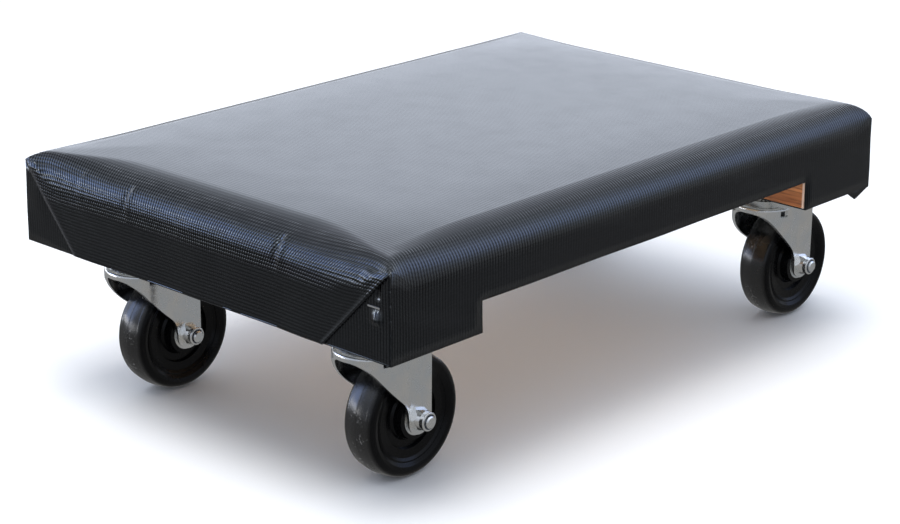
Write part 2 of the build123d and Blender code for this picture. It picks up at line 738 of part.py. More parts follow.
def build_casters():
    """Write the four casters, each as its own separate pieces."""
    pieces = {
        "top_plate": build_top_plate(),
        "kingpin": build_kingpin(),
        "lower_race": build_lower_race(),
        "upper_balls": ball_ring(
            UPPER_BALL_RADIUS, UPPER_BALL_RING, UPPER_BALL_COUNT, UPPER_BALL_Z
        ),
        "lower_balls": ball_ring(
            LOWER_BALL_RADIUS, LOWER_BALL_RING, LOWER_BALL_COUNT, LOWER_BALL_Z
        ),
        "fork": build_fork(),
        "axle_bolt": build_axle_bolt(),
        "axle_nut": build_axle_nut(),
        "axle_sleeve": build_axle_sleeve(),
        "hub_washers": build_hub_washers(),
        "rollers": build_rollers(),
        "wheel": build_wheel(),
    }
    for corner, place in CASTERS.items():
        for name, piece in pieces.items():
            save_moved(piece, f"{corner}_{name}", place)


os.makedirs("parts", exist_ok=True)
build_deck()
build_casters()
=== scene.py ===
from math import cos, pi, radians, sin

import bpy
import numpy as np
from mathutils import Matrix, Vector


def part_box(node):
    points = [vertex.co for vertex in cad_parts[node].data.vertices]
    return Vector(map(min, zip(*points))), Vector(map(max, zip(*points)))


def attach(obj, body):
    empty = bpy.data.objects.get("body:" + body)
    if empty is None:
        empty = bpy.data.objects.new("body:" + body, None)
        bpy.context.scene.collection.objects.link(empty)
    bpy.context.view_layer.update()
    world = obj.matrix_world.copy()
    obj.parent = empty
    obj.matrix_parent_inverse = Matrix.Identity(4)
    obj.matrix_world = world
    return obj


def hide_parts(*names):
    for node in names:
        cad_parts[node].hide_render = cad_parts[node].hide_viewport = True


# Looks of the padded mechanics creeper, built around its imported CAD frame.
#
# Metres, Z up, floor at Z = 0. X runs across the deck and Y along it. The CAD holds the deck, boards,
# casters and fasteners. Made here: the wrapped vinyl skin with its folded ends, the foam under it, the
# nylon rings in the axle nuts, and every material.

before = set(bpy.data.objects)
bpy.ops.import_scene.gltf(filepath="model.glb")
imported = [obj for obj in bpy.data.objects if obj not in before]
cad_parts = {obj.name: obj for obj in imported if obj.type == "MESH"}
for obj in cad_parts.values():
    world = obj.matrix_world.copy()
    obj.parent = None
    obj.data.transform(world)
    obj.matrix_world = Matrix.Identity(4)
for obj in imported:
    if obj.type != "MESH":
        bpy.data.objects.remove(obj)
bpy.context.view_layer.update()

MM = 0.001
CORNERS = ("front_left", "front_right", "rear_left", "rear_right")

# Where a smooth change is given as a pair, that is (start, length).

# Cloth
RIB_PITCH = 2.95 * MM
THREAD_PITCH = 2.87 * MM
RELIEF_TILT = (0.012, 0.06)
LEAST_TILT = 1e-9
FLAT_RIB = 0.035 * MM
ROUND_RIB = 0.24 * MM
WALL_RIBS = 0.5
WALL_THREADS = 0.15
SIDE_THREADS = 0.12
BLUNT_RIBS = 0.35
BLUNT_END = (14.0 * MM, 10.0 * MM)
WALL_DEPTH = (32.0 * MM, 10.0 * MM)
FLAT_THREAD = 0.002 * MM
ROUND_THREAD = 0.17 * MM
CLOTH_THICKNESS = 1.2 * MM
SHARP_FOLD = radians(50)
STRETCH_SHINE = 2.0
WELD_STEP = 0.02 * MM

# Shape of the stuffed top. A round edge is (width from above, fall); -1 is the front end, 1 the rear.
SIDE_ROUND = (30.0 * MM, 23.0 * MM)
END_ROUND = (39.0 * MM, 24.5 * MM)
CORNER_ROUND = {-1: 13.5 * MM, 1: 18.0 * MM}
CORNER_TURN = {-1: radians(44), 1: radians(67)}
CORNER_REACH = 30.0 * MM
NARROWING = 110.0 * MM
CROWN_RISE = 1.5 * MM
CROWN_SLOPE = 0.032
CROWN_START = 100.0 * MM
CROWN_EASE = 60.0 * MM
CORNER_CROWN = 2.2
CROWN_REACH = 120.0 * MM
MITRE_SHARPNESS = 12
SETTLING_ROUNDS = 8
FLAT_COLUMNS = 54
ROUND_COLUMNS = 11
MIDDLE_STEP = 9.0 * MM
END_STEP = 1.6 * MM
END_BAND = 62.0 * MM

# Folded ends. Shares are of the half width, and depths of the flap's height; -1 is the left, 1 the right.
FOLD_IN = {-1: 59.0 * MM, 1: 68.0 * MM}
FOLD_OVERLAP = 12.0 * MM
FLAP_LIFT = 1.4 * MM
FLAP_SHARE = (0.55, 0.4)
FLAP_DEPTH = (0.0, 0.06)
OPEN_FOLD_GAP = 0.7 * MM
OPEN_SHARE = (0.965, 0.035)
CREASE_SHARE = (0.96, 0.04)
DRAWN_SHARE = (0.68, 0.25)
DRAWN_DEPTH = (0.1, 0.25)
DRAWN_SMOOTH = 0.8
RETURN_DEPTH = 34.0 * MM
MITRE_GAP = 0.8 * MM

# Camera
CAMERA_AZIMUTH = radians(42.599)
CAMERA_ELEVATION = radians(18.957)
CAMERA_ROLL = radians(0.487)
CAMERA_LENS = 95.24
CAMERA_SENSOR = 36.0
CAMERA_CLIP = 0.05
CAMERA_DISTANCE = 2.0548
CAMERA_ASIDE = -0.01295
CAMERA_RAISE = -0.04317

# Places taken from the frame
cover_low, cover_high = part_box("vinyl_cover")
panel_low, panel_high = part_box("deck_panel")
board_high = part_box("end_board_front")[1]
HALF_WIDTH = cover_high.x
HALF_LENGTH = (cover_high.y - cover_low.y) / 2
DECK_Y = (cover_high.y + cover_low.y) / 2
COVER_BOTTOM = cover_low.z
COVER_TOP = cover_high.z + CROWN_RISE
HEIGHT = COVER_TOP - COVER_BOTTOM
BOARD_INNER = DECK_Y - board_high.y
NOTCH_TOP = panel_low.z - CLOTH_THICKNESS


# Mesh helpers


def ramp(value, start, length):
    """0 up to start, 1 from that length beyond it, and smooth between."""
    share = np.clip((value - start) / length, 0.0, 1.0)
    return share * share * (3 - 2 * share)


def hump(value, middle, width):
    """1 at the middle, falling off smoothly to both sides over about that width."""
    return np.exp(-(((value - middle) / width) ** 2))


def link(name, data):
    """A new object in the scene."""
    piece = bpy.data.objects.new(name, data)
    bpy.context.scene.collection.objects.link(piece)
    return piece


class Cloth:
    """Collects grids of points with their flat cloth coordinates, and makes one mesh of them."""

    def __init__(self):
        self.points, self.flats, self.reliefs, self.faces = [], [], [], []
        self.count = 0

    def add_grid(self, points, flat, keep=None, relief=None):
        """Add a grid of points; keep says which of its cells are made, relief how deep its weave is and
        where a fold's painted highlight lies.
        """
        rows, columns = points.shape[:2]
        index = self.count + np.arange(rows * columns).reshape(rows, columns)
        quads = np.stack([index[:-1, :-1], index[1:, :-1], index[1:, 1:], index[:-1, 1:]], axis=-1)
        quads = quads.reshape(-1, 4) if keep is None else quads[keep]
        self.points.append(points.reshape(-1, 3))
        relief = wall_relief(flat) if relief is None else relief
        self.flats.append(flat.reshape(-1, 2))
        self.reliefs.append(relief.reshape(-1, 3))
        self.faces.append(quads)
        self.count += rows * columns

    def build(self, name):
        """One object with its borders welded, and the attributes "cloth" and "relief"."""
        points = np.concatenate(self.points)
        flats = np.concatenate(self.flats)
        flats = np.column_stack([flats, np.zeros(len(flats))])
        faces = np.concatenate(self.faces)
        cells = np.round(points / WELD_STEP).astype(np.int64)
        _, first, inverse = np.unique(cells, axis=0, return_index=True, return_inverse=True)
        faces = inverse.reshape(-1)[faces]
        used = np.unique(faces)
        renumber = np.zeros(len(first), np.int64)
        renumber[used] = np.arange(len(used))
        mesh = bpy.data.meshes.new(name)
        mesh.from_pydata(points[first[used]].tolist(), [], renumber[faces].tolist())
        mesh.validate()
        for label, values in (("cloth", flats), ("relief", np.concatenate(self.reliefs))):
            store = mesh.attributes.new(label, "FLOAT_VECTOR", "POINT")
            store.data.foreach_set("vector", values[first[used]].astype(np.float32).ravel())
        mesh.shade_smooth()
        mesh.set_sharp_from_angle(angle=SHARP_FOLD)
        return link(name, mesh)


LEAST_LENGTH = 1e-12
RING_STEPS = 64


def grid_normals(points):
    """Unit normals of a grid of points, by its neighbours."""
    along = np.gradient(points, axis=0)
    across = np.gradient(points, axis=1)
    normals = np.cross(along, across)
    lengths = np.linalg.norm(normals, axis=2, keepdims=True)
    return normals / np.maximum(lengths, LEAST_LENGTH)


def lathe(name, outline, centre):
    """A ring turned about the X axis through centre; outline is a closed list of (x, radius)."""
    points, faces = [], []
    count = len(outline)
    for step in range(RING_STEPS):
        angle = 2 * pi * step / RING_STEPS
        here, beyond = step * count, (step + 1) % RING_STEPS * count
        for i, (x, radius) in enumerate(outline):
            points.append((centre.x + x, centre.y + radius * cos(angle), centre.z + radius * sin(angle)))
            following = (i + 1) % count
            faces.append((here + i, beyond + i, beyond + following, here + following))
    mesh = bpy.data.meshes.new(name)
    mesh.from_pydata(points, [], faces)
    mesh.shade_smooth()
    return link(name, mesh)


# The stuffed shape


def edge_shape(from_corner, middle, corner_turn, corner_round):
    """How an edge is rounded: its width from above, its fall, how far it turns, and its crown.

    It turns right down to vertical along the middle of an edge, and less at the corners, where the
    folded cloth makes a sharp upright edge.
    """
    share = ramp(from_corner, 0, CORNER_REACH)
    corner_fall = corner_round * np.tan(corner_turn / 2)
    reach = corner_round + (middle[0] - corner_round) * ramp(from_corner, 0, NARROWING)
    fall = corner_fall + (middle[1] - corner_fall) * share
    turn = corner_turn + (pi / 2 - corner_turn) * share
    crown = CORNER_CROWN + (1 - CORNER_CROWN) * ramp(from_corner, 0, CROWN_REACH)
    return reach, fall, turn, crown


def crown_drop(inward):
    """How far the stuffed top has sunk at that distance in from an edge."""
    eased = np.clip(CROWN_START - inward, 0, CROWN_EASE)
    straight = np.maximum(CROWN_START - CROWN_EASE - inward, 0)
    return CROWN_SLOPE * (eased**2 / (2 * CROWN_EASE) + straight)


def round_length(shape):
    """Length of cloth over a rounded edge."""
    reach, fall, turn, _ = shape
    return turn * (reach / np.sin(turn) + fall / (1 - np.cos(turn))) / 2


def section(arc, half, shape, depth):
    """Where a section over the pad is, and how far down: flat, a round edge, and straight down."""
    reach, fall, full_turn, crown = shape
    flat, length = half - reach, round_length(shape)
    turn = np.clip((arc - flat) / length, 0, 1) * full_turn
    below = np.maximum(arc - flat - length, 0)
    place = np.minimum(arc, flat) + reach * np.sin(turn) / np.sin(full_turn)
    sunk = crown * crown_drop(half - place) * (1 - np.clip(below / (depth - fall), 0, 1))
    drop = fall * (1 - np.cos(turn)) / (1 - np.cos(full_turn)) + below + sunk
    return place, drop


def top_length(half, shape):
    """Length of cloth from the middle of the top over its round edge."""
    return half - shape[0] + round_length(shape)


def section_length(half, shape, depth):
    """Length of cloth from the middle of the top to that depth below it."""
    return top_length(half, shape) + depth - shape[1]


def stuffed_top(s, q, half_width, half_length, depth):
    """Points over the pad; s runs across from -1 to 1 and q along from -1 to 1, ends included."""
    x, y = np.abs(s) * half_width, np.abs(q) * half_length
    turn = np.where(q < 0, CORNER_TURN[-1], CORNER_TURN[1])
    corner_round = np.where(q < 0, CORNER_ROUND[-1], CORNER_ROUND[1])
    for _ in range(SETTLING_ROUNDS):
        side = edge_shape(half_length - y, SIDE_ROUND, turn, corner_round)
        end = edge_shape(half_width - x, END_ROUND, turn, corner_round)
        x, side_drop = section(np.abs(s) * top_length(half_width, side), half_width, side, depth)
        along = np.abs(q) * section_length(half_length, end, depth)
        y, end_drop = section(along, half_length, end, depth)
    power = MITRE_SHARPNESS
    drop = (side_drop**power + end_drop**power) ** (1 / power)
    return np.stack([np.sign(s) * x, np.sign(q) * y, -drop], axis=-1)


MIDDLE_SIDE = (*SIDE_ROUND, pi / 2, 1.0)
MIDDLE_END = (*END_ROUND, pi / 2, 1.0)
FLAT_HALF_WIDTH = top_length(HALF_WIDTH, MIDDLE_SIDE)
ROUND_SHARE = (HALF_WIDTH - SIDE_ROUND[0]) / FLAT_HALF_WIDTH

# Pleats where the cloth bunches over the ends: (x, ridge height, valley depth, width)
FRONT_PLEATS = (
    (-139 * MM, 0.4 * MM, 0.4 * MM, 3.5 * MM),
    (-80 * MM, 0.7 * MM, 0.9 * MM, 3.0 * MM),
    (93 * MM, 1.1 * MM, 1.4 * MM, 3.0 * MM),
    (183 * MM, 0.5 * MM, 0.6 * MM, 3.0 * MM),
)
REAR_PLEATS = (
    (-120 * MM, 1.0 * MM, 1.0 * MM, 6 * MM),
    (40 * MM, 0.7 * MM, 0.8 * MM, 5 * MM),
    (150 * MM, 1.3 * MM, 1.2 * MM, 6 * MM),
)
VALLEY_ASIDE = 1.5
PLEAT_RISE = (8.5 * MM, 5.0 * MM)
PLEAT_FADE = (20.0 * MM, 20.0 * MM)
PLEAT_END = (HALF_LENGTH - 40.0 * MM, 15.0 * MM)
PLEAT_BAND = 9.0 * MM
PLEAT_STEP = 1.0 * MM

# Slow waves of the cloth: (height, length, phase)
END_WAVES = ((0.22 * MM, 17.0 * MM, 0.8), (0.14 * MM, 9.5 * MM, 2.1))
SIDE_WAVES = ((0.18 * MM, 31.0 * MM, 0.4), (0.10 * MM, 14.0 * MM, 1.7))
SLACK_DEPTH = (0.0, 14.0 * MM)
SLACK_END = (HALF_LENGTH - 30.0 * MM, 20.0 * MM)


def half_columns():
    """Columns from the middle to a side, as shares, finer across the front pleats."""
    even = np.linspace(0, ROUND_SHARE, FLAT_COLUMNS, endpoint=False)
    curved = np.linspace(ROUND_SHARE, 1, ROUND_COLUMNS + 1)
    columns = np.concatenate([even, curved])
    band = np.arange(-PLEAT_BAND, PLEAT_BAND / 2, PLEAT_STEP)
    for place, *_ in FRONT_PLEATS:
        fine = (abs(place) + np.sign(place) * band) / FLAT_HALF_WIDTH
        clear = (columns < fine.min()) | (columns > fine.max())
        columns = np.union1d(columns[clear], fine[fine < ROUND_SHARE])
    return columns


COLUMNS = np.concatenate([-half_columns()[:0:-1], half_columns()])
FLAT_HALF_LENGTH = section_length(HALF_LENGTH, MIDDLE_END, HEIGHT)


def corner_section(end):
    """Length over the top and down at a corner of that end, and the share of it that is top."""
    shape = edge_shape(0.0, END_ROUND, CORNER_TURN[end], CORNER_ROUND[end])
    length = section_length(HALF_LENGTH, shape, HEIGHT)
    return length, top_length(HALF_LENGTH, shape) / length


def half_rows(end):
    """Rows from the middle to that end's bottom, as shares, finer over the rounded end."""
    length, corner = corner_section(end)
    notch = BOARD_INNER / length
    fine = (HALF_LENGTH - END_BAND) / length
    marks = sorted((0.0, notch, fine)) + [corner, 1.0]
    rows = [np.array([0.0])]
    for low, high in zip(marks[:-1], marks[1:]):
        step = MIDDLE_STEP if high <= fine else END_STEP
        count = max(1, round((high - low) * length / step))
        rows.append(np.linspace(low, high, count + 1)[1:])
    return np.concatenate(rows)


ROWS = np.concatenate([-half_rows(-1)[:0:-1], half_rows(1)])


def pleats(points, drop):
    """How far the bunched cloth stands out over the ends' round edges."""
    x, y = points[..., 0], points[..., 1]
    window = ramp(drop, *PLEAT_RISE) * (1 - ramp(drop, *PLEAT_FADE))
    lift = np.zeros_like(x)
    for end, folds in ((-1, FRONT_PLEATS), (1, REAR_PLEATS)):
        near_end = ramp(end * y, *PLEAT_END)
        for place, ridge, valley, width in folds:
            beside = place - VALLEY_ASIDE * width
            lift += near_end * (ridge * hump(x, place, width) - valley * hump(x, beside, width))
    return lift * window


def waves(place, parts):
    """The sum of several waves along a line."""
    return sum(height * np.sin(place / length + phase) for height, length, phase in parts)


def slack(points, drop):
    """Slow unevenness of the cloth along the round edges and down the walls."""
    x, y = points[..., 0], points[..., 1]
    near_end = ramp(np.abs(y), *SLACK_END)
    uneven = near_end * waves(x, END_WAVES) + (1 - near_end) * waves(y, SIDE_WAVES)
    return ramp(drop, *SLACK_DEPTH) * uneven


def place_on_deck(points):
    """Points measured from the middle of the cover's top, moved to their place in the frame."""
    return points + np.array([0, DECK_Y, COVER_TOP])


def weave_relief(normals, drop):
    """How deep the ribs and the cross threads stand, from none on the flat to all on round edges."""
    tilt = ramp(1 - normals[..., 2], *RELIEF_TILT)
    level = np.maximum(normals[..., 0] ** 2 + normals[..., 1] ** 2, LEAST_TILT)
    sideways = normals[..., 0] ** 2 / level
    blunt = BLUNT_RIBS + (1 - BLUNT_RIBS) * ramp(drop, *BLUNT_END)
    on_wall = ramp(drop, *WALL_DEPTH)
    ribs = tilt * (sideways + (1 - sideways) * blunt) * (1 - (1 - WALL_RIBS) * on_wall)
    threads = tilt * (SIDE_THREADS + (1 - SIDE_THREADS) * (1 - sideways))
    threads *= 1 - (1 - WALL_THREADS) * on_wall
    return np.stack([ribs, threads, 0 * ribs], axis=-1)


def wall_relief(flat):
    """The shallow weave of the walls, for a grid with those cloth coordinates."""
    relief = np.zeros((*flat.shape[:2], 3))
    relief[..., 0] = WALL_RIBS
    relief[..., 1] = WALL_THREADS
    return relief


def fold_relief(relief, s, q, below, on_end):
    """Add the painted highlight along the closed front fold, and smooth the cloth drawn to the open one.
    """
    # Painted highlight: the third part of the relief marks a pale line along the closed front fold.
    relief[..., 2] = np.where((s < 0) & (q < 0), ramp(-s, *CREASE_SHARE), 0) * on_end
    drawn = np.where((s > 0) & (q < 0), ramp(s, *DRAWN_SHARE), 0) * ramp(below, *DRAWN_DEPTH)
    relief[..., :2] *= (1 - DRAWN_SMOOTH * drawn)[..., None]


def fold_lift(s, q, below):
    """How far a flap stands off beside its folds, and further where the front right one is open."""
    near_fold = ramp(np.abs(s), *FLAP_SHARE) * ramp(below, *FLAP_DEPTH)
    gap = np.where((s > 0) & (q < 0), OPEN_FOLD_GAP * ramp(s, *OPEN_SHARE), 0)
    return (FLAP_LIFT + gap) * near_fold


def cover_top_and_ends(cloth):
    """The top with the flap that folds down over each end.

    Returns its two side borders and how far along the cloth their points are.
    """
    s, q = np.meshgrid(COLUMNS, ROWS, indexing="ij")
    points = stuffed_top(s, q, HALF_WIDTH, HALF_LENGTH, HEIGHT)
    drop = -points[..., 2]
    first = int(np.argmin(np.abs(ROWS + corner_section(-1)[1])))
    last = int(np.argmin(np.abs(ROWS - corner_section(1)[1])))
    place = np.arange(len(ROWS))
    on_end = (place <= first) | (place >= last)
    corner_drop = np.where(ROWS < 0, drop[0, first], drop[0, last])
    fold = np.where(s < 0, FOLD_IN[-1], FOLD_IN[1])
    below = np.clip((drop - corner_drop) / (HEIGHT - corner_drop), 0, 1) * on_end
    points[..., 0] *= 1 - fold * below / HALF_WIDTH
    flat = np.stack([s * FLAT_HALF_WIDTH, q * FLAT_HALF_LENGTH], axis=-1)
    normals = grid_normals(points)
    relief = weave_relief(normals, drop)
    fold_relief(relief, s, q, below, on_end)
    lift = pleats(points, drop) + slack(points, drop) + fold_lift(s, q, below)
    offsets = normals * lift[..., None]
    bottom = np.abs(q) >= 1
    offsets[bottom, 2] = 0
    points = place_on_deck(points + offsets)
    cloth.add_grid(points, flat, relief=relief)
    inside = slice(first, last + 1)
    return points[0, inside], points[-1, inside], ROWS[inside] * FLAT_HALF_LENGTH


WALL_FLARE = 1.0 * MM
WALL_RIPPLE = 0.3 * MM
RIPPLE_ALONG = 23.0 * MM
RIPPLE_DOWN = 11.0 * MM
UPPER_STEPS = 4
LOWER_STEPS = 3


def wall_depths(top_z):
    """Heights down one line of a wall, through the notch's level to the bottom."""
    upper = top_z + (NOTCH_TOP - top_z) * np.linspace(0, 1, UPPER_STEPS + 1)
    lower = np.linspace(NOTCH_TOP, COVER_BOTTOM, LOWER_STEPS + 1)[1:]
    return np.concatenate([upper, lower])


def side_wall(cloth, border, v, side):
    """One long side, cut away between the end boards. Returns its two corner lines."""
    x, y, top = (border[:, axis, None] for axis in range(3))
    z = np.stack([wall_depths(top_z) for top_z in border[:, 2]])
    v = v[:, None] + 0 * z
    down = (top - z) / (top - COVER_BOTTOM)
    ripple = WALL_RIPPLE * np.sin(pi * down) * np.sin(v / RIPPLE_ALONG + z / RIPPLE_DOWN)
    x = x * (1 - down) + side * (HALF_WIDTH + WALL_FLARE) * down + side * ripple
    points = np.stack([x, y + 0 * z, z], axis=-1)
    flat = np.stack([side * (FLAT_HALF_WIDTH + top - z), v], axis=-1)
    keep = np.ones((z.shape[0] - 1, z.shape[1] - 1), bool)
    middle = (points[:-1, 0, 1] + points[1:, 0, 1]) / 2 - DECK_Y
    keep[np.abs(middle) < BOARD_INNER, UPPER_STEPS:] = False
    relief = wall_relief(flat)
    relief[:, 0, 0] = 1
    if side < 0:
        cloth.add_grid(points, flat, keep, relief)
    else:
        cloth.add_grid(points[::-1], flat[::-1], keep[::-1], relief[::-1])
    return points[0], points[-1]


WRAP_STEP = 1.5 * MM
WRAP_EASE = 4.0 * MM
WRAP_TAPER = 0.97
PUCKER_LEVELS = 57

# The cloth about the staple at a corner: how far the staple is in from the corner and up from the
# bottom, and each swelling or tuck about it. An ACROSS pair is (place, width); a REACH pair is the
# width across and the width up.
PULL_IN = 15.8 * MM
PULL_UP = 42.2 * MM
SWELL = 1.5 * MM
SWELL_REACH = 13.0 * MM
PUCKER = 0.4 * MM
PUCKER_REACH = (9.0 * MM, 15.0 * MM)
HOLLOW_REACH = (8.0 * MM, 3.0 * MM)
RIDGE = 3.0 * MM
RIDGE_ACROSS = (13.5 * MM, 4.2 * MM)
RIDGE_TOP = (0.5 * MM, 10.0 * MM)
RIDGE_FOOT = (10.0 * MM, 4.0 * MM)
TUCK = 1.4 * MM
TUCK_ACROSS = (12.0 * MM, 2.0 * MM)
TUCK_RISE = (4.0 * MM, 5.0 * MM)
TUCK_EASE = (0.0, 6.0 * MM)


def about_staple(away, up, reach_in, reach_up):
    """1 at the staple, falling off to all sides."""
    return hump(away, PULL_IN, reach_in) * hump(up, PULL_UP, reach_up)


def crumple(away, up):
    """How far the cloth under the open fold stands out, puckered about the staple that holds it."""
    under = PULL_UP - up
    pucker = about_staple(away, up, *PUCKER_REACH) * (1 - about_staple(away, up, *HOLLOW_REACH))
    ridge = hump(away, *RIDGE_ACROSS) * ramp(under, *RIDGE_TOP) * (1 - ramp(under, *RIDGE_FOOT))
    tuck = hump(away, *TUCK_ACROSS) * ramp(-under, *TUCK_RISE) * ramp(away, *TUCK_EASE)
    return PUCKER * pucker + RIDGE * ridge - TUCK * tuck


def swell(away, up):
    """How far the cloth stands out over the staple hidden under a closed fold."""
    return SWELL * about_staple(away, up, SWELL_REACH, SWELL_REACH)


def corner_wrap(cloth, line, side, end):
    """The side's cloth carried round the corner, under the end flap."""
    is_open = (side, end) == (1, -1)
    if is_open:
        levels = np.arange(len(line))
        finer = np.linspace(0, len(line) - 1, PUCKER_LEVELS)
        line = np.stack([np.interp(finer, levels, line[:, axis]) for axis in range(3)], axis=-1)
    count = int((FOLD_IN[side] + FOLD_OVERLAP) / WRAP_STEP)
    away = np.arange(count + 1)[:, None] * WRAP_STEP
    height = line[0, 2] - COVER_BOTTOM
    top = COVER_BOTTOM + height * (1 - np.clip((away - FOLD_OVERLAP) / FOLD_IN[side], 0, WRAP_TAPER))
    z = COVER_BOTTOM + (top - COVER_BOTTOM) * ((line[:, 2] - COVER_BOTTOM) / height)
    up = z - COVER_BOTTOM
    bulge = crumple(away, up) if is_open else swell(away, up)
    y = line[:, 1] + end * bulge * ramp(away, 0, WRAP_EASE)
    points = np.stack([line[:, 0] - side * away, y, z], axis=-1)
    v = end * (corner_section(end)[1] * FLAT_HALF_LENGTH + away) + 0 * z
    flat = np.stack([side * (FLAT_HALF_WIDTH + line[0, 2] - z), v], axis=-1)
    if side * end > 0:
        points, flat = points[::-1], flat[::-1]
    cloth.add_grid(points, flat)


BOARD_POINTS = 13
WIDTH_POINTS = 25
LENGTH_POINTS = 41
RETURN_POINTS = 5
SAG = 0.6 * MM
SAG_LENGTH = 27.0 * MM


def add_facing_down(cloth, points, flat, is_turned):
    """Add a level grid, turned over if its own order would make it face up."""
    if is_turned:
        points, flat = points[::-1], flat[::-1]
    cloth.add_grid(points, flat)


def return_under_board(cloth, end):
    """The end flap's cloth under one board."""
    depth = np.linspace(0, 1, BOARD_POINTS) * (HALF_LENGTH - BOARD_INNER)
    half = HALF_WIDTH - np.minimum(depth, RETURN_DEPTH) - MITRE_GAP
    x = np.linspace(-1, 1, WIDTH_POINTS)[:, None] * half[None, :]
    y = DECK_Y + end * (HALF_LENGTH - depth)[None, :] + 0 * x
    points = np.stack([x, y, COVER_BOTTOM + 0 * x], axis=-1)
    flat = np.stack([x, y + end * 2 * depth[None, :]], axis=-1)
    add_facing_down(cloth, points, flat, end < 0)


def return_beside_board(cloth, side, end):
    """The side's cloth under one end of a board, mitred against the flap's."""
    along = np.linspace(0, 1, BOARD_POINTS)[None, :]
    inward = np.linspace(0, RETURN_DEPTH, RETURN_POINTS)[:, None] + 0 * along
    start = HALF_LENGTH - inward - MITRE_GAP
    x = side * (HALF_WIDTH - inward)
    y = DECK_Y + end * (start + (BOARD_INNER - start) * along)
    points = np.stack([x, y, COVER_BOTTOM + 0 * x], axis=-1)
    flat = np.stack([side * (FLAT_HALF_WIDTH + HEIGHT + inward), y], axis=-1)
    add_facing_down(cloth, points, flat, side * end > 0)


def return_under_panel(cloth, side):
    """The side's cloth under a long edge of the panel, between the boards."""
    inward = np.linspace(0, RETURN_DEPTH, RETURN_POINTS)
    lengthwise = np.linspace(-BOARD_INNER, BOARD_INNER, LENGTH_POINTS)
    inward, lengthwise = np.meshgrid(inward, lengthwise, indexing="ij")
    sag = SAG * np.sin(lengthwise / SAG_LENGTH) * inward / RETURN_DEPTH
    x = side * (HALF_WIDTH - inward)
    points = np.stack([x, DECK_Y + lengthwise, NOTCH_TOP - np.abs(sag)], axis=-1)
    flat = np.stack([side * (FLAT_HALF_WIDTH + HEIGHT + inward), lengthwise], axis=-1)
    add_facing_down(cloth, points, flat, side < 0)


def underside(cloth):
    """The cloth returned under the boards and under the panel's long edges."""
    for end in (-1, 1):
        return_under_board(cloth, end)
        for side in (-1, 1):
            return_beside_board(cloth, side, end)
    for side in (-1, 1):
        return_under_panel(cloth, side)


EAR_LENGTH = 33.0 * MM
EAR_DROP = 8.0 * MM
EAR_TIP = 0.62
EAR_POINTS = (17, 5)
EAR_EDGE = 0.3 * MM
EAR_INSET = 0.2 * MM
EAR_TUCK = 0.8 * MM


def hanging_ear(cloth):
    """The three-cornered tip of folded cloth that hangs below the rear right corner."""
    along, down = (np.linspace(0, 1, count) for count in EAR_POINTS)
    along, down = np.meshgrid(along, down, indexing="ij")
    hang = EAR_DROP * np.minimum(along / EAR_TIP, (1 - along) / (1 - EAR_TIP)) + EAR_EDGE
    x = HALF_WIDTH + WALL_FLARE - EAR_INSET + 0 * along
    y = DECK_Y + HALF_LENGTH - EAR_LENGTH * along
    z = COVER_BOTTOM + EAR_TUCK - hang * down
    flat = np.stack([FLAT_HALF_WIDTH + HEIGHT + hang * down, y], axis=-1)
    cloth.add_grid(np.stack([x, y, z], axis=-1), flat)


def build_cover():
    """The whole wrapped skin, as one piece of cloth with its folds."""
    cloth = Cloth()
    left, right, v = cover_top_and_ends(cloth)
    for side, border in ((-1, left), (1, right)):
        front_line, rear_line = side_wall(cloth, border, v, side)
        corner_wrap(cloth, front_line, side, -1)
        corner_wrap(cloth, rear_line, side, 1)
    underside(cloth)
    hanging_ear(cloth)
    cover = cloth.build("vinyl_cover_cloth")
    shell = cover.modifiers.new("thickness", "SOLIDIFY")
    shell.thickness = CLOTH_THICKNESS
    shell.offset = -1
    return cover


FOAM_INSET = 1.6 * MM
FOAM_ROWS = 121
FOAM_WALL_LEVELS = 4


def build_foam():
    """The foam pad under the skin, crowned and rounded like it, and flat on the panel."""
    half_width, half_length = HALF_WIDTH - FOAM_INSET, HALF_LENGTH - FOAM_INSET
    bottom = panel_high.z
    top = COVER_TOP - FOAM_INSET
    s, q = np.meshgrid(COLUMNS, np.linspace(-1, 1, FOAM_ROWS), indexing="ij")
    points = stuffed_top(s, q, half_width, half_length, top - bottom)
    points = points + np.array([0, DECK_Y, top])
    points[..., 2] = np.maximum(points[..., 2], bottom)
    on_panel, lifted = np.array([1, 1, 0]), np.array([0, 0, bottom])
    cloth = Cloth()
    cloth.add_grid(points, points[..., :2])
    levels = np.linspace(0, 1, FOAM_WALL_LEVELS)[None, :, None]
    for side, border in ((-1, points[0]), (1, points[-1])):
        foot = border * on_panel + lifted
        wall = border[:, None, :] * (1 - levels) + foot[:, None, :] * levels
        wall = wall if side < 0 else wall[::-1]
        cloth.add_grid(wall, wall[..., :2])
    base = (points * on_panel + lifted)[::-1]
    cloth.add_grid(base, base[..., :2])
    return cloth.build("foam_pad_soft")


# The nylon ring's places along the nut from its face, its radii, and its bevel
RING_BACK = -2.2 * MM
RING_FACE = -0.45 * MM
RING_BORE = 5.05 * MM
RING_OUTSIDE = 6.15 * MM
RING_BEVEL = 0.25 * MM


def build_nylon_ring(corner):
    """The locking ring in the mouth of an axle nut."""
    low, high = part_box(f"{corner}_axle_nut")
    centre = Vector((high.x, (low.y + high.y) / 2, (low.z + high.z) / 2))
    outline = [
        (RING_BACK, RING_BORE),
        (RING_FACE - RING_BEVEL, RING_BORE),
        (RING_FACE, RING_BORE + RING_BEVEL),
        (RING_FACE, RING_OUTSIDE - RING_BEVEL),
        (RING_FACE - RING_BEVEL, RING_OUTSIDE),
        (RING_BACK, RING_OUTSIDE),
    ]
    return lathe(f"{corner}_nylon_ring", outline, centre)


# Materials. A span is (from, to).

NONE_TO_ALL = (0, 1)
ALL_TO_NONE = (1, 0)
WAVE = (-1, 1)
MOST = (0.3, 0.7)
MIDDLE = (0.35, 0.65)


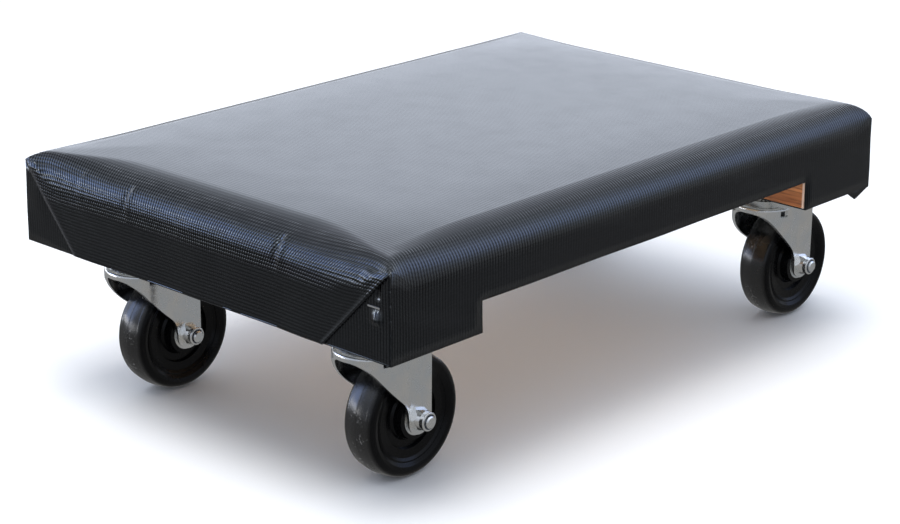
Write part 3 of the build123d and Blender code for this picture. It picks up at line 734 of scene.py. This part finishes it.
class Shader:
    """A node material with a Principled surface, and short ways to add to it."""

    def __init__(self, name, color, roughness, metallic=0.0, ior=1.5):
        self.material = bpy.data.materials.new(name)
        self.material.use_nodes = True
        self.nodes = self.material.node_tree.nodes
        self.links = self.material.node_tree.links
        self.surface = self.nodes["Principled BSDF"]
        self.surface.inputs["Base Color"].default_value = (*color, 1)
        self.surface.inputs["Roughness"].default_value = roughness
        self.surface.inputs["Metallic"].default_value = metallic
        self.surface.inputs["IOR"].default_value = ior
        self.material.diffuse_color = (*color, 1)

    def set(self, node, socket, value):
        """Give a socket a constant, or link it from another node's output."""
        if isinstance(value, bpy.types.NodeSocket):
            self.links.new(value, node.inputs[socket])
        else:
            node.inputs[socket].default_value = value

    def coordinates(self):
        """The piece's own coordinates, which move with it."""
        return self.nodes.new("ShaderNodeTexCoord").outputs["Object"]

    def attribute(self, name):
        """A vector stored on the piece's points."""
        node = self.nodes.new("ShaderNodeAttribute")
        node.attribute_name = name
        return node.outputs["Vector"]

    def facing_up(self):
        """How far the surface faces up, from -1 to 1, before any bump."""
        return self.split(self.nodes.new("ShaderNodeNewGeometry").outputs["Normal"])[2]

    def math(self, operation, a, b=0.0):
        """One sum, of constants or other nodes' outputs."""
        node = self.nodes.new("ShaderNodeMath")
        node.operation = operation
        self.set(node, 0, a)
        self.set(node, 1, b)
        return node.outputs[0]

    def product(self, a, b):
        """One number times another."""
        return self.math("MULTIPLY", a, b)

    def split(self, vector):
        """The three numbers of a vector."""
        node = self.nodes.new("ShaderNodeSeparateXYZ")
        self.set(node, 0, vector)
        return node.outputs

    def noise(self, vector, scale, detail=2.0, rough=0.5):
        """An uneven pattern from 0 to 1; scale may be one number, or one for each direction."""
        if isinstance(scale, tuple):
            mapping = self.nodes.new("ShaderNodeMapping")
            self.set(mapping, "Vector", vector)
            self.set(mapping, "Scale", scale)
            vector, scale = mapping.outputs[0], 1.0
        node = self.nodes.new("ShaderNodeTexNoise")
        self.set(node, "Vector", vector)
        self.set(node, "Scale", scale)
        self.set(node, "Detail", detail)
        self.set(node, "Roughness", rough)
        return node.outputs[0]

    def spread(self, value, span, result=NONE_TO_ALL):
        """A number mapped from one range to another, clamped."""
        node = self.nodes.new("ShaderNodeMapRange")
        for socket, number in enumerate((value, *span, *result)):
            self.set(node, socket, number)
        return node.outputs[0]

    def blend(self, factor, a, b):
        """A colour between a and b, each three numbers or another node's output."""
        node = self.nodes.new("ShaderNodeMix")
        node.data_type = "RGBA"
        self.set(node, "Factor", factor)
        for socket, color in ((6, a), (7, b)):
            self.set(node, socket, (*color, 1) if isinstance(color, tuple) else color)
        return node.outputs[2]

    def color(self, value):
        """The surface's base colour."""
        self.set(self.surface, "Base Color", value)

    def roughness(self, value):
        """The surface's roughness."""
        self.set(self.surface, "Roughness", value)

    def specular(self, value):
        """How strongly the surface mirrors, 0.5 being ordinary."""
        self.set(self.surface, "Specular IOR Level", value)

    def bump(self, height, distance, after=None):
        """Add a height to the surface; distance is the height of one unit, in metres."""
        node = self.nodes.new("ShaderNodeBump")
        self.set(node, "Height", height)
        self.set(node, "Distance", distance)
        self.set(node, "Strength", 1.0)
        if after is not None:
            self.set(node, "Normal", after)
        self.set(self.surface, "Normal", node.outputs[0])
        return node.outputs[0]


VINYL_TINT = (0.80, 0.90, 1.0, 1)
VINYL_SHINE = 0.206
VINYL_LEAST_SHINE = 0.015
THREAD_SHINE = (-0.175, 0.078)
RIB_SHINE = (-0.11, 0.045)
GROOVE = (-0.7, 0.5)
CREST = (0.35, 1.0)
UNEVEN_THREADS = (0.5, 1.3)
SLOW_BUMP = 0.045 * MM
GRAIN_BUMP = 0.006 * MM
STRETCH_FROM = (0.03, 0.14)
STRETCH_TO = (0.62, 0.85)


def vinyl_weave(shader, flat, ribs, threads, rib_relief, thread_relief):
    """Bumps of the scrim under the vinyl: ribs, and cross threads that stand between them."""
    slow = shader.noise(flat, (7, 26, 0), detail=3)
    uneven = shader.noise(flat, (60, 160, 0))
    grain = shader.noise(flat, 1400.0)
    rib_height = shader.spread(rib_relief, NONE_TO_ALL, (FLAT_RIB / 2, ROUND_RIB / 2))
    thread_height = shader.spread(thread_relief, NONE_TO_ALL, (FLAT_THREAD / 2, ROUND_THREAD / 2))
    thread_height = shader.product(thread_height, shader.spread(uneven, MIDDLE, UNEVEN_THREADS))
    weave = shader.product(ribs, rib_height)
    crest = shader.spread(ribs, WAVE, CREST)
    ladder = shader.product(shader.product(threads, crest), thread_height)
    first = shader.bump(slow, SLOW_BUMP)
    second = shader.bump(shader.math("ADD", weave, ladder), 1.0, after=first)
    shader.bump(grain, GRAIN_BUMP, after=second)


def vinyl_shine(shader, ribs, threads, rib_relief, thread_relief):
    """Gloss on the ribs and threads, none between them, and more on the stretched round edges."""
    lit = shader.spread(threads, WAVE, THREAD_SHINE)
    lit = shader.math("ADD", VINYL_SHINE, shader.product(lit, thread_relief))
    grooves = shader.product(shader.spread(ribs, WAVE, RIB_SHINE), rib_relief)
    lit = shader.math("MAXIMUM", shader.math("ADD", lit, grooves), VINYL_LEAST_SHINE)
    upward = shader.facing_up()
    off_wall = shader.spread(upward, STRETCH_FROM)
    off_top = shader.spread(upward, STRETCH_TO, ALL_TO_NONE)
    stretched = shader.product(off_wall, off_top)
    shine = shader.math("ADD", 1.0, shader.product(stretched, STRETCH_SHINE))
    shader.specular(shader.product(lit, shine))


def vinyl_material():
    """Black vinyl laid over a woven scrim, with ladder-like cross threads between its ribs, painted shade
    in the rib grooves and a painted highlight along the closed front fold.
    """
    clean, dusty = (0.0058, 0.0058, 0.0062), (0.009, 0.009, 0.010)
    painted_groove_shade, painted_fold_highlight = (0.0006, 0.0006, 0.0008), (0.045, 0.045, 0.047)
    shader = Shader("black_ribbed_vinyl", (0.004, 0.004, 0.005), 0.22, ior=1.8)
    shader.surface.inputs["Specular Tint"].default_value = VINYL_TINT
    flat = shader.attribute("cloth")
    u, v, _ = shader.split(flat)
    rib_relief, thread_relief, fold_highlight = shader.split(shader.attribute("relief"))
    ribs = shader.math("COSINE", shader.product(v, 2 * pi / RIB_PITCH))
    threads = shader.math("COSINE", shader.product(u, 2 * pi / THREAD_PITCH))
    vinyl_weave(shader, flat, ribs, threads, rib_relief, thread_relief)
    vinyl_shine(shader, ribs, threads, rib_relief, thread_relief)
    dust = shader.spread(shader.noise(flat, 22.0, detail=6, rough=0.65), (0.45, 0.8), (0.0, 0.5))
    black = shader.blend(dust, clean, dusty)
    # Painted shade: the base colour darkens to near black in the rib grooves.
    black = shader.blend(shader.spread(ribs, GROOVE, ALL_TO_NONE), black, painted_groove_shade)
    # Painted highlight: the base colour turns pale grey along the closed front fold.
    shader.color(shader.blend(fold_highlight, black, painted_fold_highlight))
    shader.roughness(shader.spread(shader.noise(flat, 35.0, detail=4), MOST, (0.17, 0.225)))
    return shader.material


def zinc_material():
    """Bright zinc plate: satin, a little uneven, with a faint warm and blue tarnish."""
    blue, warm, tarnished = (0.87, 0.91, 0.94), (0.97, 0.96, 0.93), (0.62, 0.56, 0.48)
    shader = Shader("zinc_plate", (0.92, 0.93, 0.92), 0.34, metallic=1.0)
    place = shader.coordinates()
    tint = shader.spread(shader.noise(place, 55.0, detail=3, rough=0.6), MIDDLE)
    stain = shader.spread(shader.noise(place, 130.0, detail=5, rough=0.7), (0.64, 0.8), (0, 0.25))
    shader.color(shader.blend(stain, shader.blend(tint, blue, warm), tarnished))
    uneven = shader.noise(place, 90.0, detail=5, rough=0.6)
    shader.roughness(shader.spread(uneven, MOST, (0.17, 0.32)))
    dents = shader.bump(shader.noise(place, 24.0, detail=1), 0.35 * MM)
    shader.bump(shader.noise(place, 1500.0), 0.006 * MM, after=dents)
    return shader.material


def bearing_material():
    """Polished balls and rollers with a film of grease."""
    bare, greasy = (0.62, 0.61, 0.59), (0.30, 0.26, 0.20)
    shader = Shader("bearing_steel_polished", bare, 0.14, metallic=1.0)
    grease = shader.spread(shader.noise(shader.coordinates(), 160.0, detail=4), (0.45, 0.7))
    shader.color(shader.blend(grease, bare, greasy))
    shader.roughness(shader.spread(grease, NONE_TO_ALL, (0.1, 0.35)))
    return shader.material


def staple_material():
    """Galvanised staple wire."""
    bright, dull = (0.72, 0.73, 0.74), (0.45, 0.44, 0.42)
    shader = Shader("staple_wire_galvanised", (0.68, 0.69, 0.70), 0.32, metallic=1.0)
    wear = shader.spread(shader.noise(shader.coordinates(), 600.0, detail=3), (0.4, 0.7))
    shader.color(shader.blend(wear, bright, dull))
    shader.roughness(shader.spread(wear, NONE_TO_ALL, (0.25, 0.5)))
    return shader.material


RUBBER_SHINE = (0.24, 1.2)
TREAD_EDGE = 3.0 * MM
TREAD_START = 1.0 * MM
MOULD_LINE = (0.25 * MM, 0.7 * MM)
MOULD_LINE_BUMP = 0.22 * MM
TURNED_PITCH = 1.6 * MM
TURNED_BUMP = 0.008 * MM
LUMP_BUMP = 0.16 * MM
RUBBER_GRAIN_BUMP = 0.02 * MM
WORN_BAND = (4.0 * MM, 9.0 * MM)


def rubber_scuffs(shader, place, off_centre, on_tread):
    """Where the middle of the tread is scuffed pale: specks, gathered in patches."""
    wear = shader.product(shader.spread(off_centre, WORN_BAND, (1, 0.1)), on_tread)
    specks = shader.spread(shader.noise(place, 480.0, detail=4, rough=0.7), (0.58, 0.68))
    patches = shader.spread(shader.noise(place, 60.0, detail=3), (0.50, 0.60))
    return shader.product(shader.product(specks, patches), wear)


def rubber_material(corner):
    """Hard black rubber, with a mould line round the tread, faint turned rings and pale scuffs."""
    clean, hazy, scuffed = (0.0014, 0.0014, 0.0017), (0.0035, 0.0035, 0.0042), (0.40, 0.39, 0.38)
    low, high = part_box(f"{corner}_wheel")
    middle = (low + high) / 2
    radius = (high.z - low.z) / 2
    shader = Shader(f"hard_rubber_{corner}", (0.003, 0.003, 0.004), 0.26, ior=1.42)
    place = shader.coordinates()
    x, y, z = shader.split(place)
    forward = shader.math("SUBTRACT", y, middle.y)
    upward = shader.math("SUBTRACT", z, middle.z)
    square = shader.math("ADD", shader.product(forward, forward), shader.product(upward, upward))
    from_axle = shader.math("SQRT", square)
    on_tread = shader.spread(from_axle, (radius - TREAD_EDGE, radius - TREAD_START))
    shader.specular(shader.spread(on_tread, NONE_TO_ALL, RUBBER_SHINE))
    off_centre = shader.math("ABSOLUTE", shader.math("SUBTRACT", x, middle.x))
    line = shader.product(shader.spread(off_centre, MOULD_LINE, ALL_TO_NONE), on_tread)
    turned = shader.math("SINE", shader.product(from_axle, 2 * pi / TURNED_PITCH))
    turned = shader.product(turned, shader.math("SUBTRACT", 1.0, on_tread))
    first = shader.bump(line, MOULD_LINE_BUMP)
    second = shader.bump(turned, TURNED_BUMP, after=first)
    third = shader.bump(shader.noise(place, 120.0, detail=4), LUMP_BUMP, after=second)
    shader.bump(shader.noise(place, 900.0, detail=3), RUBBER_GRAIN_BUMP, after=third)
    haze = shader.spread(shader.noise(place, 45.0, detail=5, rough=0.6), (0.35, 0.75), (0, 0.6))
    scuffs = rubber_scuffs(shader, place, off_centre, on_tread)
    shader.color(shader.blend(scuffs, shader.blend(haze, clean, hazy), scuffed))
    shader.roughness(shader.spread(shader.noise(place, 70.0, detail=4), MOST, (0.18, 0.30)))
    return shader.material


PLY_PITCH = 3.6 * MM
PLY_CUT = (HALF_WIDTH - 2.2 * MM, HALF_WIDTH - 1.6 * MM)


def plywood_material():
    """Plywood: pale birch faces with soft grain, and layers that show at the cut edges."""
    pale, brown, cream = (0.60, 0.43, 0.26), (0.44, 0.29, 0.16), (0.66, 0.50, 0.33)
    dark = (0.27, 0.16, 0.08)
    shader = Shader("birch_plywood", (0.55, 0.38, 0.22), 0.6)
    place = shader.coordinates()
    x, _, z = shader.split(place)
    grain = shader.noise(place, (260, 14, 260), detail=4, rough=0.6)
    broad = shader.noise(place, (30, 3, 30))
    face = shader.blend(shader.spread(grain, MOST), pale, brown)
    face = shader.blend(shader.spread(broad, MIDDLE, (0, 0.5)), face, cream)
    plies = shader.math("SINE", shader.product(z, 2 * pi / PLY_PITCH))
    plies = shader.spread(plies, (0.1, 0.4), (0, 0.55))
    at_edge = shader.spread(shader.math("ABSOLUTE", x), PLY_CUT)
    shader.color(shader.blend(shader.product(plies, at_edge), face, dark))
    shader.roughness(shader.spread(grain, MOST, (0.5, 0.7)))
    shader.bump(grain, 0.12 * MM)
    return shader.material


BOARD_END_HIGHLIGHT = (HALF_WIDTH - 3.6 * MM, HALF_WIDTH - 2.6 * MM)


def hardwood_material():
    """Orange-brown hardwood, its grain along the board, with a painted highlight along its ends."""
    red, orange, pored = (0.34, 0.10, 0.026), (0.78, 0.29, 0.09), (0.10, 0.028, 0.010)
    light, painted_end_highlight = (0.60, 0.28, 0.12), (0.80, 0.56, 0.42)
    shader = Shader("red_hardwood", (0.42, 0.17, 0.06), 0.5)
    place = shader.coordinates()
    x = shader.split(place)[0]
    streaks = shader.noise(place, (8, 40, 40), detail=3)
    fibres = shader.noise(place, (22, 420, 420), detail=5, rough=0.65)
    figure = shader.noise(place, (12, 110, 110), detail=3)
    body = shader.blend(shader.spread(figure, MIDDLE), red, orange)
    body = shader.blend(shader.spread(fibres, (0.46, 0.66), (0, 0.8)), body, pored)
    body = shader.blend(shader.spread(streaks, (0.52, 0.75), (0, 0.4)), body, light)
    # Painted highlight: the base colour turns pale pink over the board's ends.
    end = shader.spread(shader.math("ABSOLUTE", x), BOARD_END_HIGHLIGHT)
    shader.color(shader.blend(end, body, painted_end_highlight))
    shader.roughness(shader.spread(fibres, MOST, (0.42, 0.65)))
    shader.bump(fibres, 0.25 * MM)
    return shader.material


def foam_material():
    """Yellowish open-cell foam."""
    yellow, brown = (0.74, 0.63, 0.38), (0.66, 0.52, 0.28)
    shader = Shader("polyurethane_foam", (0.72, 0.60, 0.34), 0.9)
    place = shader.coordinates()
    cells = shader.nodes.new("ShaderNodeTexVoronoi")
    shader.set(cells, "Vector", place)
    shader.set(cells, "Scale", 900.0)
    tone = shader.spread(shader.noise(place, 40.0, detail=4), MOST)
    shader.color(shader.blend(tone, yellow, brown))
    shader.bump(cells.outputs[0], 0.4 * MM)
    return shader.material


def nylon_material():
    """Dark translucent nylon."""
    dark, light = (0.045, 0.055, 0.075), (0.085, 0.095, 0.12)
    shader = Shader("locking_nylon", (0.055, 0.065, 0.085), 0.42, ior=1.53)
    place = shader.coordinates()
    tone = shader.spread(shader.noise(place, 300.0, detail=3), MOST)
    shader.color(shader.blend(tone, dark, light))
    shader.bump(shader.noise(place, 1200.0), 0.03 * MM)
    return shader.material


def floor_material():
    """Matt white studio floor."""
    white, whiter = (0.90, 0.90, 0.90), (0.91, 0.91, 0.91)
    shader = Shader("studio_floor", white, 0.9)
    shader.specular(0.0)
    tone = shader.spread(shader.noise(shader.coordinates(), 1.5), NONE_TO_ALL)
    shader.color(shader.blend(tone, white, whiter))
    return shader.material


def dress(node, material):
    """Give a CAD node a finished material in place of its plain one."""
    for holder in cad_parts[node].material_slots:
        holder.material = material


# Studio

FLOOR_REACH = 30.0
AIM = Vector((0, DECK_Y, COVER_BOTTOM))

# Brightness by how high a direction looks, from -1 straight down to 1 straight up
DIM_SKY = ((-1.0, 0.25), (-0.03, 0.25), (0.03, 0.5), (0.35, 0.55), (0.6, 0.75), (1.0, 1.7))
BRIGHT_SKY = (
    (-1.0, 0.25), (-0.03, 0.27), (0.03, 2.1), (0.36, 2.18), (0.49, 1.1), (0.6, 1.1), (1.0, 1.7)
)
BRIGHT_SIDE = (-0.82, 0.57, 0)
BRIGHT_EDGE = (0.50, 0.85)
SKY_TINT = (0.82, 0.88, 1.0)
WHITE = (1.0, 1.0, 1.0)
WARM = (1.0, 0.98, 0.94)
BLUE = (0.40, 0.55, 1.0)
LIGHT_DISTANCE = 2.4


def build_floor():
    """The plane the wheels stand on. It is lit and shadowed, but no piece mirrors it."""
    mesh = bpy.data.meshes.new("floor")
    reach = FLOOR_REACH
    corners = [(-reach, -reach, 0), (reach, -reach, 0), (reach, reach, 0), (-reach, reach, 0)]
    mesh.from_pydata(corners, [], [(0, 1, 2, 3)])
    floor = link("floor", mesh)
    mesh.materials.append(floor_material())
    floor.visible_glossy = False


def add_sky_ramp(nodes, links, height, sky, brightest):
    """A ramp of brightness by height, tinted above the horizon."""
    ramp_node = nodes.new("ShaderNodeValToRGB")
    links.new(height, ramp_node.inputs[0])
    stops = ramp_node.color_ramp.elements
    while len(stops) < len(sky):
        stops.new(0.5)
    for stop, (upward, level) in zip(stops, sky):
        stop.position = (upward + 1) / 2
        tint = SKY_TINT if upward > 0 else WHITE
        stop.color = (*(level / brightest * part for part in tint), 1)
    return ramp_node.outputs[0]


def build_world():
    """A studio with one pale wall beyond the deck, dim walls elsewhere, and dark below."""
    world = bpy.data.worlds.new("studio")
    bpy.context.scene.world = world
    world.use_nodes = True
    nodes, links = world.node_tree.nodes, world.node_tree.links
    place = nodes.new("ShaderNodeTexCoord").outputs["Generated"]
    split = nodes.new("ShaderNodeSeparateXYZ")
    links.new(place, split.inputs[0])
    height = nodes.new("ShaderNodeMapRange")
    height.inputs["From Min"].default_value = -1
    links.new(split.outputs[2], height.inputs[0])
    toward = nodes.new("ShaderNodeVectorMath")
    toward.operation = "DOT_PRODUCT"
    toward.inputs[1].default_value = BRIGHT_SIDE
    links.new(place, toward.inputs[0])
    side = nodes.new("ShaderNodeMapRange")
    side.interpolation_type = "SMOOTHSTEP"
    side.inputs["From Min"].default_value, side.inputs["From Max"].default_value = BRIGHT_EDGE
    links.new(toward.outputs["Value"], side.inputs[0])
    mix = nodes.new("ShaderNodeMix")
    mix.data_type = "RGBA"
    links.new(side.outputs[0], mix.inputs["Factor"])
    brightest = max(level for _, level in BRIGHT_SKY)
    for socket, sky in ((6, DIM_SKY), (7, BRIGHT_SKY)):
        links.new(add_sky_ramp(nodes, links, height.outputs[0], sky, brightest), mix.inputs[socket])
    background = nodes["Background"]
    links.new(mix.outputs[2], background.inputs["Color"])
    background.inputs["Strength"].default_value = brightest


def add_softbox(name, direction, color, size, power, only_shine=True):
    """A rectangular soft light, aimed at the deck from that direction."""
    light = bpy.data.lights.new(name, "AREA")
    light.shape = "RECTANGLE"
    light.size, light.size_y = size
    light.energy = power
    light.color = color
    lamp = link(name, light)
    toward = Vector(direction).normalized()
    lamp.location = AIM + toward * LIGHT_DISTANCE
    lamp.rotation_euler = toward.to_track_quat("Z", "Y").to_euler()
    lamp.visible_diffuse = not only_shine


def build_lights():
    """A large softbox overhead, and three that only shine in the glossy pieces."""
    add_softbox("overhead_softbox", (0.1, -0.25, 1.0), WARM, size=(1.6, 1.6), power=42, only_shine=False)
    add_softbox("front_softbox", (-0.735, -0.600, 0.317), BLUE, size=(1.1, 1.3), power=9.5)
    add_softbox("front_low_softbox", (-0.72, -0.69, 0.05), WHITE, size=(1.8, 0.14), power=5.5)
    add_softbox("side_softbox", (0.48, 0.76, 0.44), BLUE, size=(1.4, 1.4), power=5.5)


def build_camera():
    """The camera, turned about the deck, rolled a little, and moved aside and up."""
    azimuth, elevation = CAMERA_AZIMUTH, CAMERA_ELEVATION
    back = Vector((sin(azimuth) * cos(elevation), -cos(azimuth) * cos(elevation), sin(elevation)))
    right = Vector((cos(azimuth), sin(azimuth), 0))
    up = back.cross(right)
    rolled_right = cos(CAMERA_ROLL) * right + sin(CAMERA_ROLL) * up
    rolled_up = cos(CAMERA_ROLL) * up - sin(CAMERA_ROLL) * right
    place = AIM + CAMERA_DISTANCE * back + CAMERA_ASIDE * rolled_right + CAMERA_RAISE * rolled_up
    data = bpy.data.cameras.new("camera")
    data.lens = CAMERA_LENS
    data.sensor_width = CAMERA_SENSOR
    data.clip_start = CAMERA_CLIP
    camera = link("camera", data)
    axes = Matrix((rolled_right, rolled_up, back)).transposed().to_4x4()
    camera.matrix_world = Matrix.Translation(place) @ axes
    bpy.context.scene.camera = camera


# Making

ZINC_DECK_NODES = ("board_screws", "caster_bolts", "caster_bolt_washers", "caster_tee_nuts")
ZINC_CASTER_NODES = (
    "top_plate", "kingpin", "lower_race", "fork", "axle_bolt", "axle_nut", "axle_sleeve", "hub_washers"
)
BEARING_NODES = ("upper_balls", "lower_balls", "rollers")


def make_cover():
    """The cover, in place of the CAD's plain one."""
    cover = build_cover()
    cover.data.materials.append(vinyl_material())
    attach(cover, "root")
    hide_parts("vinyl_cover")


def make_foam():
    """The foam pad, in place of the CAD's plain one."""
    foam = build_foam()
    foam.data.materials.append(foam_material())
    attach(foam, "root")
    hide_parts("foam_pad")


def make_rings():
    """A nylon ring in each axle nut, turning with its swivel."""
    nylon = nylon_material()
    for corner in CORNERS:
        ring = build_nylon_ring(corner)
        ring.data.materials.append(nylon)
        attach(ring, f"{corner}_swivel")


def make_materials():
    """Finished materials on the CAD's own pieces."""
    zinc, bearing, staple = zinc_material(), bearing_material(), staple_material()
    plywood, hardwood = plywood_material(), hardwood_material()
    for name in ZINC_DECK_NODES:
        dress(name, zinc)
    dress("cover_staples", staple)
    dress("deck_panel", plywood)
    dress("end_board_front", hardwood)
    dress("end_board_rear", hardwood)
    for corner in CORNERS:
        for name in ZINC_CASTER_NODES:
            dress(f"{corner}_{name}", zinc)
        for name in BEARING_NODES:
            dress(f"{corner}_{name}", bearing)
        dress(f"{corner}_wheel", rubber_material(corner))


bpy.context.scene.view_settings.view_transform = "Standard"
build_camera()
build_floor()
build_world()
build_lights()
make_foam()
make_cover()
make_rings()
make_materials()

bpy.context.view_layer.update()
